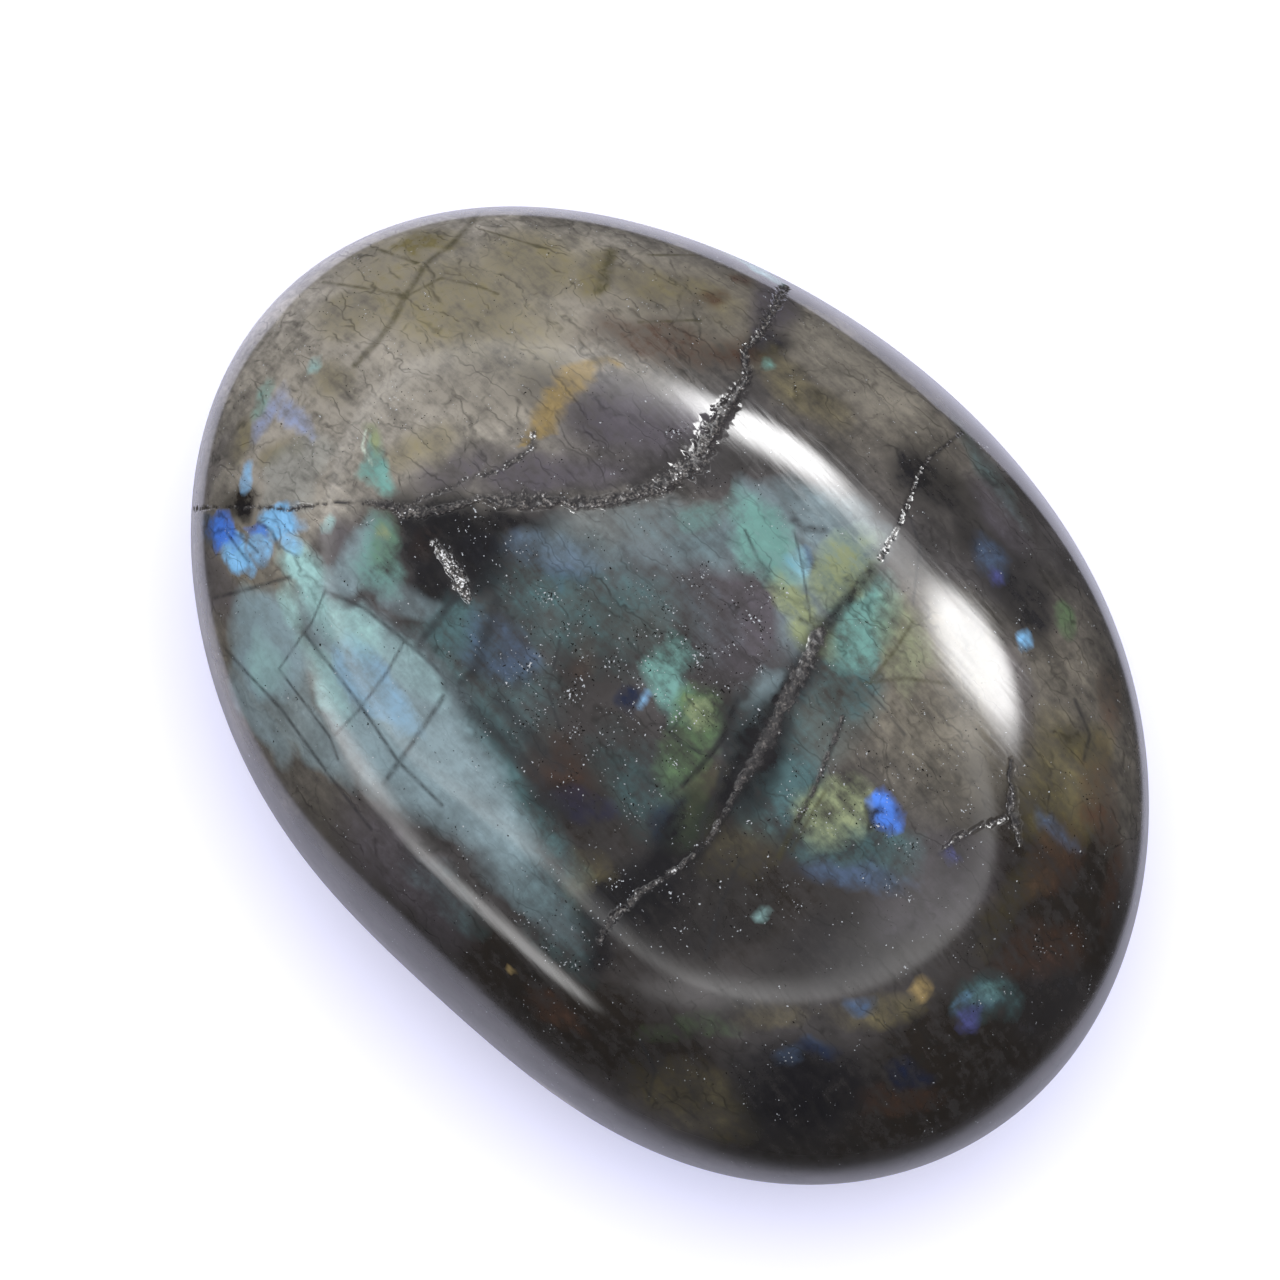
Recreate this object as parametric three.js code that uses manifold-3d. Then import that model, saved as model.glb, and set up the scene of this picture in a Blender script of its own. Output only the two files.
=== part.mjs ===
// A polished labradorite pebble, one solid stone, in millimetres with +Z up.
// It lies on a small ground flat on its underside. X runs along its length and Y across it.
// The body is a flattened egg: a plan outline swept up to a domed top and down to a shallower
// underside. Hairline fissures that break the polish are cut into the top as shallow grooves.
import * as THREE from "three";
import { mergeVertices } from "three/addons/utils/BufferGeometryUtils.js";
import Module from "manifold-3d";

// Driving sizes of the stone
const LENGTH = 65;
const WIDTH = 47.3;
const TOP_DOME = 12.6; // from the girdle, the widest line, up to the crown
const UNDER_DOME = 11.5; // from the girdle down to where the underside would end if it weren't ground
const GROUND_OFF = 0.6; // how much of the underside the grinding took away
const DOME_SQUARENESS = 2.25; // 2 is an ellipse, and more makes flatter faces and fuller shoulders

// How the plan departs from a plain ellipse: lobes round the girdle, size in mm and heading in degrees
const LOBES = [
  { count: 2, size: 0.17, heading: -4 },
  { count: 3, size: 0.42, heading: -34 },
  { count: 4, size: 0.29, heading: -29 },
  { count: 5, size: 0.14, heading: -32 },
];

// The girdle rises and falls a little round the stone
const GIRDLE_WANDER = { count: 2, size: 0.7, heading: 35 };

// Slow swells that hand polishing leaves in the faces: height and wavelength in mm
const SWELLS = [
  { height: 0.16, wavelength: 31, heading: 20, phase: 0.6 },
  { height: 0.11, wavelength: 22, heading: 105, phase: 2.1 },
  { height: 0.07, wavelength: 16, heading: 155, phase: 4.0 },
];

// Mesh steps
const ROUND_STEPS = 80;
const RISE_STEPS = 34; // rings from the crown to the foot

// Open fissures, as places seen from above. Each groove's depth is how far it cuts below the polish.
const FISSURES = [
  {
    // The long one: in from the left end, then across the top and up to the far side
    width: 0.8,
    depth: 0.4,
    path: [
      [-25.5, -14.2],
      [-19.6, -9.5],
      [-15.5, -5.9],
      [-12.2, -2.4],
      [-9.3, 0.4],
      [-7.3, 4.7],
      [-6.2, 8.4],
      [-8.4, 11.4],
      [-10.2, 15.4],
      [-12.6, 18.9],
    ],
  },
  {
    // The straight one that follows the cleavage
    width: 0.6,
    depth: 0.3,
    path: [
      [0.2, 21.3],
      [1.6, 17.2],
      [3.4, 13.6],
      [5.0, 7.9],
      [6.8, 3.0],
      [8.7, -2.6],
    ],
  },
  {
    // The short gash below the long one
    width: 1.0,
    depth: 0.5,
    path: [
      [-14.0, -7.0],
      [-11.9, -7.5],
      [-9.2, -7.9],
    ],
  },
  {
    // The crack near the right shoulder
    width: 0.6,
    depth: 0.3,
    path: [
      [16.6, 11.1],
      [17.3, 9.5],
      [19.1, 7.5],
      [20.9, 5.9],
    ],
  },
];
const GROOVE_SIDES = 8;
const GROOVE_STEP = 1.6; // along the groove, mm
const END_BITE = -0.1; // share of its depth that a groove bites at its ends: none, so it runs out

const radians = THREE.MathUtils.degToRad;

// Distance from the middle to the girdle, in the direction theta.
function girdleRadius(theta) {
  const halfLength = LENGTH / 2;
  const halfWidth = WIDTH / 2;
  const ellipse =
    (halfLength * halfWidth) /
    Math.hypot(halfWidth * Math.cos(theta), halfLength * Math.sin(theta));
  const lobes = LOBES.reduce(
    (sum, lobe) =>
      sum + lobe.size * Math.cos(lobe.count * (theta - radians(lobe.heading))),
    0,
  );
  return ellipse + lobes;
}

// Height of the swells at a place seen from above.
function swell(x, y) {
  return SWELLS.reduce((sum, wave) => {
    const along = x * Math.cos(radians(wave.heading)) + y * Math.sin(radians(wave.heading));
    return sum + wave.height * Math.sin((2 * Math.PI * along) / wave.wavelength + wave.phase);
  }, 0);
}

// The stone's skin at direction theta and rise, from 90 degrees at the crown to -90 at the foot.
function skinPoint(theta, rise) {
  const reach = Math.cos(rise) ** (2 / DOME_SQUARENESS);
  const lift = Math.sign(rise) * Math.abs(Math.sin(rise)) ** (2 / DOME_SQUARENESS);
  const x = reach * girdleRadius(theta) * Math.cos(theta);
  const y = reach * girdleRadius(theta) * Math.sin(theta);
  const wander =
    GIRDLE_WANDER.size *
    Math.cos(GIRDLE_WANDER.count * (theta - radians(GIRDLE_WANDER.heading))) *
    reach ** 2;
  const dome = lift > 0 ? TOP_DOME : UNDER_DOME;
  const girdleHeight = UNDER_DOME - GROUND_OFF;
  const z = girdleHeight + wander + dome * lift + swell(x, y) * lift;
  return new THREE.Vector3(x, y, Math.max(z, 0));
}

// Height of the top face over a place seen from above.
function topHeight(x, y) {
  const theta = Math.atan2(y, x);
  const reach = Math.min(Math.hypot(x, y) / girdleRadius(theta), 1);
  const rise = Math.acos(reach ** (DOME_SQUARENESS / 2));
  return skinPoint(theta, rise).z;
}

// The whole skin: rings of points between a crown point and a foot point.
function stoneGeometry() {
  const points = [skinPoint(0, Math.PI / 2)];
  for (let ring = 1; ring < RISE_STEPS; ring++) {
    const rise = Math.PI / 2 - (Math.PI * ring) / RISE_STEPS;
    for (let step = 0; step < ROUND_STEPS; step++)
      points.push(skinPoint((2 * Math.PI * step) / ROUND_STEPS, rise));
  }
  points.push(new THREE.Vector3(0, 0, 0));
  const foot = points.length - 1;
  const at = (ring, step) => 1 + (ring - 1) * ROUND_STEPS + (step % ROUND_STEPS);
  const faces = [];
  for (let step = 0; step < ROUND_STEPS; step++) {
    faces.push(0, at(1, step), at(1, step + 1));
    for (let ring = 1; ring < RISE_STEPS - 1; ring++) {
      faces.push(at(ring, step), at(ring + 1, step), at(ring + 1, step + 1));
      faces.push(at(ring, step), at(ring + 1, step + 1), at(ring, step + 1));
    }
    faces.push(at(RISE_STEPS - 1, step), foot, at(RISE_STEPS - 1, step + 1));
  }
  const geometry = new THREE.BufferGeometry().setFromPoints(points);
  geometry.setIndex(faces);
  return geometry;
}

// A rod whose lower side cuts the groove: it lies along the fissure, mostly above the skin,
// and lifts out of the stone at both ends so that the fissure runs out to nothing.
function grooveGeometry({ width, depth, path }) {
  const radius = (width * width) / (8 * depth) + depth / 2;
  const line = new THREE.CatmullRomCurve3(
    path.map(([x, y], index) => {
      const isEnd = index === 0 || index === path.length - 1;
      const bite = isEnd ? END_BITE * depth : depth;
      return new THREE.Vector3(x, y, topHeight(x, y) + radius - bite);
    }),
  );
  const section = new THREE.Shape().absarc(0, 0, radius, 0, 2 * Math.PI);
  return new THREE.ExtrudeGeometry(section, {
    curveSegments: GROOVE_SIDES,
    steps: Math.ceil(line.getLength() / GROOVE_STEP),
    extrudePath: line,
  });
}

// Booleans, through manifold-3d
const wasm = await Module();
wasm.setup();

function toSolid(geometry) {
  const bare = geometry.clone();
  bare.deleteAttribute("normal");
  bare.deleteAttribute("uv");
  const merged = mergeVertices(bare, 1e-4);
  return new wasm.Manifold(
    new wasm.Mesh({
      numProp: 3,
      vertProperties: new Float32Array(merged.attributes.position.array),
      triVerts: new Uint32Array(merged.index.array),
    }),
  );
}

function toGeometry(solid) {
  const mesh = solid.getMesh();
  const geometry = new THREE.BufferGeometry();
  geometry.setAttribute("position", new THREE.BufferAttribute(mesh.vertProperties, 3));
  geometry.setIndex(new THREE.BufferAttribute(mesh.triVerts, 1));
  geometry.computeVertexNormals();
  return geometry;
}

let stone = toSolid(stoneGeometry());
for (const fissure of FISSURES) stone = stone.subtract(toSolid(grooveGeometry(fissure)));

const geometry = toGeometry(stone);
geometry.computeBoundingBox();
const middle = geometry.boundingBox.getCenter(new THREE.Vector3());
geometry.translate(-middle.x, -middle.y, -geometry.boundingBox.min.z);

const labradorite = new THREE.MeshStandardMaterial({
  color: 0x4b5049,
  roughness: 0.12,
  metalness: 0,
});
const pebble = new THREE.Mesh(geometry, labradorite);
pebble.name = "pebble";

const group = new THREE.Group();
group.add(pebble);
export default group;
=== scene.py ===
from math import cos, radians, sin

import bmesh
import bpy
import numpy as np
from mathutils import Matrix, Vector, noise
from mathutils.bvhtree import BVHTree
from mathutils.kdtree import KDTree


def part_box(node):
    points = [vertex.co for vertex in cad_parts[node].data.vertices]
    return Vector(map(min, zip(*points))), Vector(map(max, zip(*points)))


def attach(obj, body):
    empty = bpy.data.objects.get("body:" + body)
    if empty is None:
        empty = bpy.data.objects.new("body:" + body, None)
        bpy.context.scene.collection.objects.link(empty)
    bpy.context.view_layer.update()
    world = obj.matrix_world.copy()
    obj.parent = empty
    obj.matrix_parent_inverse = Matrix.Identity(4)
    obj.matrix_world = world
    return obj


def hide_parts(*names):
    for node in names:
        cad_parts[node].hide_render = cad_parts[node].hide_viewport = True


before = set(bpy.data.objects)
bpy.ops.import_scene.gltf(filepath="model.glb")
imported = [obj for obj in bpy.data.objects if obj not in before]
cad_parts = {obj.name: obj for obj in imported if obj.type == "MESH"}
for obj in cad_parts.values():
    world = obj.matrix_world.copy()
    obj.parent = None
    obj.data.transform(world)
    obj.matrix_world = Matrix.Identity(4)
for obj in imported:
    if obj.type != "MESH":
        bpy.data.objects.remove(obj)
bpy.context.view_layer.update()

MM = 0.001

# The stone's form, as in its CAD source
LENGTH = 65.0
WIDTH = 47.3
TOP_DOME = 12.6
UNDER_DOME = 11.5
GROUND_OFF = 0.6
DOME_SQUARENESS = 2.25
GROUND_ROUNDING = 0.35  # how softly the ground flat runs into the underside
LOBES = [(2, 0.17, -4), (3, 0.42, -34), (4, 0.29, -29), (5, 0.14, -32)]  # count, size, heading
GIRDLE_WANDER = (2, 0.7, 35)  # count, size, heading
# Height, wavelength, heading and phase
SWELLS = [(0.16, 31, 20, 0.6), (0.11, 22, 105, 2.1), (0.07, 16, 155, 4.0)]

# How fine the stone's skin is
COARSE_LEVEL = 6  # of the ball on which places are looked up
BALL_LEVEL = 7
FINE_REACHES = (0.85, 0.5)  # each halves the faces this near to a fissure or hairline
SEED = 7

# The camera, at the photograph's angle
PICTURE_SIZE = 1280  # pixels, of the photograph that places are read from
AZIMUTH = 48.0
ELEVATION = 74.0
DISTANCE = 450.0
AIM = Vector((-2.73, -0.22, 11.64))
LENS = 217.0
SENSOR = 36.0
CLIP_START = 10.0
PIXELS_PER_MM = 17.0  # on the stone, near enough for spacing points along a line

# Open fissures: depth, how much painted glint they get, and the places they pass as the camera sees them,
# each with the half width there
FISSURES = {
    "long": (0.3, 0.6, [
        (190, 509, 0.08), (231, 507, 0.07), (285, 508, 0.12), (320, 504, 0.09), (360, 501, 0.08),
        (392, 506, 0.3), (402, 510, 0.42), (425, 513, 0.3), (450, 507, 0.25), (480, 497, 0.16),
        (500, 501, 0.5), (523, 502, 0.56), (548, 501, 0.5), (560, 499, 0.16), (575, 503, 0.42),
        (600, 503, 0.5), (623, 497, 0.5), (650, 490, 0.55), (675, 478, 0.65), (697, 460, 0.75),
        (709, 436, 0.62), (722, 411, 0.4), (738, 394, 0.35), (747, 374, 0.3), (744, 352, 0.2),
        (762, 330, 0.3), (778, 300, 0.35), (785, 285, 0.2),
    ]),
    "gash": (0.35, 2.2, [
        (433, 541, 0.1), (444, 556, 0.36), (453, 569, 0.42), (462, 585, 0.4), (469, 601, 0.2),
    ]),
    "upper branch": (0.12, 1.2, [
        (405, 505, 0.15), (427, 498, 0.08), (449, 488, 0.12), (466, 479, 0.06), (481, 475, 0.12),
        (500, 472, 0.06), (512, 461, 0.14), (533, 448, 0.12), (534, 431, 0.12),
    ]),
    "straight, upper end": (0.12, 0.7, [
        (962, 432, 0.06), (928, 459, 0.08), (916, 481, 0.08), (905, 510, 0.1),
    ]),
    "straight, dotted": (0.05, 0.9, [
        (904, 512, 0.08), (893, 537, 0.09), (880, 558, 0.08),
    ]),
    "straight, middle": (0.1, 0.1, [
        (820, 633, 0.35), (808, 658, 0.5), (797, 680, 0.52), (784, 707, 0.5), (770, 736, 0.5),
        (754, 763, 0.42), (741, 784, 0.25),
    ]),
    "straight, lower end": (0.12, 0.7, [
        (741, 784, 0.16), (723, 817, 0.1), (706, 846, 0.12), (672, 872, 0.1), (640, 893, 0.14),
        (611, 920, 0.14), (599, 940, 0.1),
    ]),
    "beside the straight one": (0.08, 0.5, [
        (843, 717, 0.08), (833, 743, 0.12), (818, 781, 0.1), (798, 822, 0.06),
    ]),
    "right shoulder": (0.25, 0.7, [
        (1010, 760, 0.08), (1012, 788, 0.2), (1010, 806, 0.32), (1014, 822, 0.3), (1018, 842, 0.12),
    ]),
    "right shoulder tail": (0.15, 0.5, [
        (1004, 818, 0.15), (980, 826, 0.12), (955, 840, 0.14), (938, 853, 0.06),
    ]),
}
LINES_ABOVE = 100.0  # height from which the fissures' lines are dropped onto the stone

# A fissure's torn edge: its line is shaken by so much over such a distance, and chips break from it.
# It is open as far out as OPEN_TO, less a chip's bite, and its bruise fades by BRUISE_FADE, both for
# each half width.
SHAKE = 0.7
SHAKE_WIDTH = 0.6
CHIP_WIDTH = 0.35
CHIP_BITE = 0.7
SHALLOWEST_CHIP = 0.4  # share of the fissure's depth
OPEN_TO = 1.35
OPEN_SHARPNESS = 2.2
BRUISE_FADE = 0.42

# How far apart the points are that a fissure or a hairline is followed by
FISSURE_STEP = 0.2
HAIRLINE_STEP = 0.08

# Hairlines without relief, and one painted highlight line, of each kind: half width, and the places they
# pass as the camera sees them
HAIRLINES = {
    "olive line": [
        (0.17, [(482, 210), (453, 243), (425, 265), (407, 294), (392, 322), (376, 343), (355, 365)]),
        (0.1, [(372, 247), (417, 263)]),
        (0.08, [(323, 282), (364, 288), (407, 296), (441, 278)]),
        (0.07, [(441, 278), (478, 286), (498, 294)]),
        (0.07, [(480, 229), (547, 249)]),
        (0.09, [(649, 255), (694, 255)]),
        (0.08, [(639, 322), (700, 320)]),
        (0.3, [(612, 251), (607, 270), (601, 290)]),
        (0.1, [(913, 622), (895, 650), (872, 680)]),
        (0.08, [(860, 684), (905, 678), (950, 684)]),
        (0.15, [(815, 787), (796, 822), (777, 862)]),
        (0.09, [(826, 790), (808, 820), (792, 850)]),
    ],
    "dark line": [
        (0.09, [(304, 633), (332, 668), (359, 703), (398, 761), (442, 805)]),
        (0.08, [(405, 640), (388, 671), (359, 710), (335, 735)]),
        (0.13, [(444, 696), (413, 742), (384, 783)]),
        (0.09, [(325, 591), (364, 608), (398, 635), (432, 664), (447, 681)]),
        (0.09, [(226, 650), (282, 710), (335, 783), (371, 829)]),
        (0.07, [(279, 669), (306, 705), (330, 737), (338, 759)]),
        (0.2, [(416, 648), (437, 621), (464, 587)]),
        (0.26, [(452, 690), (473, 674), (483, 645), (497, 601)]),
        (0.42, [(449, 684), (483, 722), (531, 771), (560, 814)]),
        (0.34, [(500, 698), (525, 732), (560, 770)]),
        (0.06, [(325, 591), (312, 622), (304, 633), (279, 669)]),
        (0.08, [(227, 533), (238, 548), (249, 562)]),
        (0.07, [(233, 533), (247, 541), (258, 552)]),
        (0.09, [(258, 522), (272, 531), (279, 548)]),
        (0.1, [(213, 598), (245, 590), (290, 577)]),
        (0.08, [(862, 684), (888, 712), (905, 735)]),
        (0.28, [(874, 567), (858, 588), (838, 612), (820, 633)]),
        (0.12, [(800, 619), (812, 625), (820, 635)]),
        (0.06, [(794, 530), (801, 560), (806, 590), (811, 622)]),
        (0.07, [(745, 530), (758, 559), (770, 572)]),
        (0.12, [(737, 700), (730, 730), (713, 752), (683, 785)]),
        (0.11, [(728, 744), (718, 790), (703, 820), (700, 850)]),
        (0.12, [(664, 725), (682, 744), (700, 752)]),
        (0.09, [(690, 700), (681, 716), (672, 730)]),
        (0.12, [(866, 812), (871, 818), (873, 812), (882, 811)]),
        (0.12, [(872, 816), (869, 829)]),
        (0.22, [(794, 520), (804, 528), (823, 530)]),
        (0.07, [(905, 505), (920, 545), (913, 604)]),
        (0.09, [(640, 1040), (655, 1070), (648, 1100)]),
        (0.1, [(1075, 700), (1090, 735), (1084, 760)]),
        (0.08, [(740, 860), (720, 905), (705, 960)]),
        (0.07, [(560, 640), (548, 690), (560, 730)]),
    ],
    # A painted highlight along a thin bright edge, drawn like a hairline
    "painted highlight line": [
        (0.06, [(366, 430), (362, 447), (372, 464)]),
    ],
    "black line": [
        (0.26, [(872, 570), (858, 588), (838, 612), (820, 633)]),
        (0.5, [(820, 633), (808, 658), (797, 680), (784, 707), (770, 736), (754, 763)]),
        (0.2, [(754, 763), (741, 784), (723, 817), (706, 846), (672, 872), (640, 893)]),
        (0.1, [(733, 707), (722, 740), (700, 768), (682, 786)]),
        (0.12, [(843, 717), (833, 743), (818, 781), (798, 822)]),
        (0.14, [(866, 806), (872, 814), (880, 808), (872, 814), (870, 828)]),
        (0.16, [(916, 481), (905, 510), (893, 537), (880, 558)]),
        (0.1, [(962, 432), (928, 459), (916, 481)]),
        (0.2, [(408, 512), (436, 522), (462, 530), (500, 527)]),
    ],
}

# What the stone is coloured with, from the ground up to the flashes laid over it: colour, how soft its
# edge is, and how ragged
GROUND_COLOURS = ("#312f2d", "#474446")
STAINS_AND_SHEEN = {
    "pale feldspar": ("#847f77", 0.6, 0.7),
    "bright feldspar": ("#9a958f", 0.7, 0.7),
    "warm grey": ("#666158", 0.6, 0.8),
    "brown black": ("#1f1b18", 0.6, 1.3),
    "charcoal": ("#232224", 0.5, 1.3),
    "mauve grey": ("#49454b", 0.5, 0.8),
    "olive": ("#615a3f", 0.6, 1.0),
    "rust": ("#3f2e26", 0.55, 1.4),
    "gold": ("#786847", 0.2, 0.8),
    # The teal, blue, green, violet, lilac and navy ones below are flashes: the labradorescent sheen, painted
    # into the colour
    "dim teal": ("#3d5356", 0.7, 1.3),
    "dim blue": ("#3d4a5f", 0.6, 1.3),
    "grey panel": ("#74868d", 0.4, 0.4),
    "mint": ("#84a6a6", 0.55, 0.7),
    "sea green": ("#5c817c", 0.5, 1.3),
    "leaf green": ("#4b6045", 0.5, 1.3),
    "yellow green": ("#747c60", 0.5, 1.3),
    "sky": ("#6d9cc3", 0.4, 1.0),
    "royal blue": ("#3f6bc0", 0.35, 1.0),
    "violet": ("#3f416b", 0.5, 1.2),
    "lilac": ("#7a829b", 0.5, 1.2),
    "navy": ("#181f34", 0.4, 1.0),
    "ink": ("#131215", 0.5, 1.0),
}
LINES = {"olive line": "#3a3726", "dark line": "#26272a", "black line": "#141315", "painted highlight line": "#b3c2b6"}
LINE_STRENGTH = (0.25, 0.75)  # where the line is faint, and where it is full
LINE_GRAINS = (0.35, 0.6)  # levels of the grains at which it is faint and full
LINE_FULL = 0.2  # a hairline starts to fade at so many half widths from its middle
LINE_GONE = 2.2

# Cloudiness in the stone: grain size, detail and roughness
PATCHINESS = 1.3  # how much it breaks up a stain
STAIN_SHOWS = 0.1  # the least amount of a stain that shows
CLOUDS = {
    "clouds": (3.2, 3.0, 0.6),
    "grains": (0.6, 3.0, 0.65),
    "specks": (0.16, 1.0, 0.6),
    "clusters": (1.3, 2.0, 0.7),
}

# Streaks along the cleavage, and wipe marks in the polish: heading, grains per millimetre along, across and
# up, detail and roughness
CLEAVAGE = 72
STREAKS = {
    "streaks": (CLEAVAGE, (0.3, 1.8, 0.8), 3.0, 0.6),
    "wipes": (-40, (0.25, 5.0, 1.0), 2.0, 0.5),
}

# How much each pattern lightens and darkens the stone
SHADES = {"streaks": 0.7, "grains": 0.55, "clouds": 1.2}
CLEAR_OF_SHADES = 0.65  # share of them that a clear grey panel lacks

# Healed cracks, two nets and a straight set along the cleavage: heading, cells per millimetre along, across
# and up, half width in cells, and strength
VEIN_COLOUR = "#1d1c1b"
VEIN_BEND = 3.0
VEIN_STREAKS = (0.42, 0.58)  # levels of the streaks between which the veins come in
CLEAR_OF_VEINS = 0.8
VEINS = [
    (0, (1 / 6.0, 1 / 6.0, 1 / 6.0), 0.016, 0.35),
    (0, (1 / 2.6, 1 / 2.6, 1 / 2.6), 0.025, 0.15),
    (CLEAVAGE, (0.1, 0.7, 0.3), 0.045, 0.55),
]

# Flecks: dark ones of dust, and white ones that are painted glints; from which level of the noise they show,
# and colour
FLECKS = {"dark": (-0.23, "#0d0c0a"), "white": (0.79, "#a0a4aa")}
FLECK_EDGE = 0.05
FLECK_CLUSTERING = 0.5
FLECK_GAIN = 0.09  # how much the level rises where the dust is full

# Crushed stone inside the fissures, from its dark pits to its glints, which are painted highlights, and the
# bruised margin beside it
CRUMB_SIZE = 0.1
CRUMB_GRAINS = 1.8  # how much the stone's grains lighten and darken the crumbs
PLAIN_GLINT = 0.65
GLINT_GAIN = 0.3
CRUSHED_AND_GLINTS = ((0.0, "#1e1d1f"), (0.45, "#2f2c2e"), (0.7, "#4f4b49"), (0.88, "#6d6967"), (0.97, "#cdced1"))
BRUISE_COLOUR = "#262527"
BRUISE_STRENGTH = 0.5
BRUISE_FULL = 0.9

# The polish: roughness between the wipe marks and on them, and where the stone is torn
POLISH = (0.07, 0.15)
WIPE_LEVELS = (0.4, 0.75)
WIPE_DEPTH = 0.02
WIPE_RELIEF = 0.05
TORN_ROUGHNESS = 0.35
REFRACTION = 1.56  # index of feldspar

# The polish grows duller between these heights, to this roughness
DULL_FROM = 17.5
DULL_FULLY = 12.5
DULLNESS = 0.4

# A mark reaches as far into the stone as this many half widths, and this much more
MARK_REACH = (1.2, 1.0)

# The edges of the marks wander by so much, over such a distance
WANDERS = ((1.1, 4.0), (0.5, 1.3), (0.2, 0.5))
WANDER_SEED = 7
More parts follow.
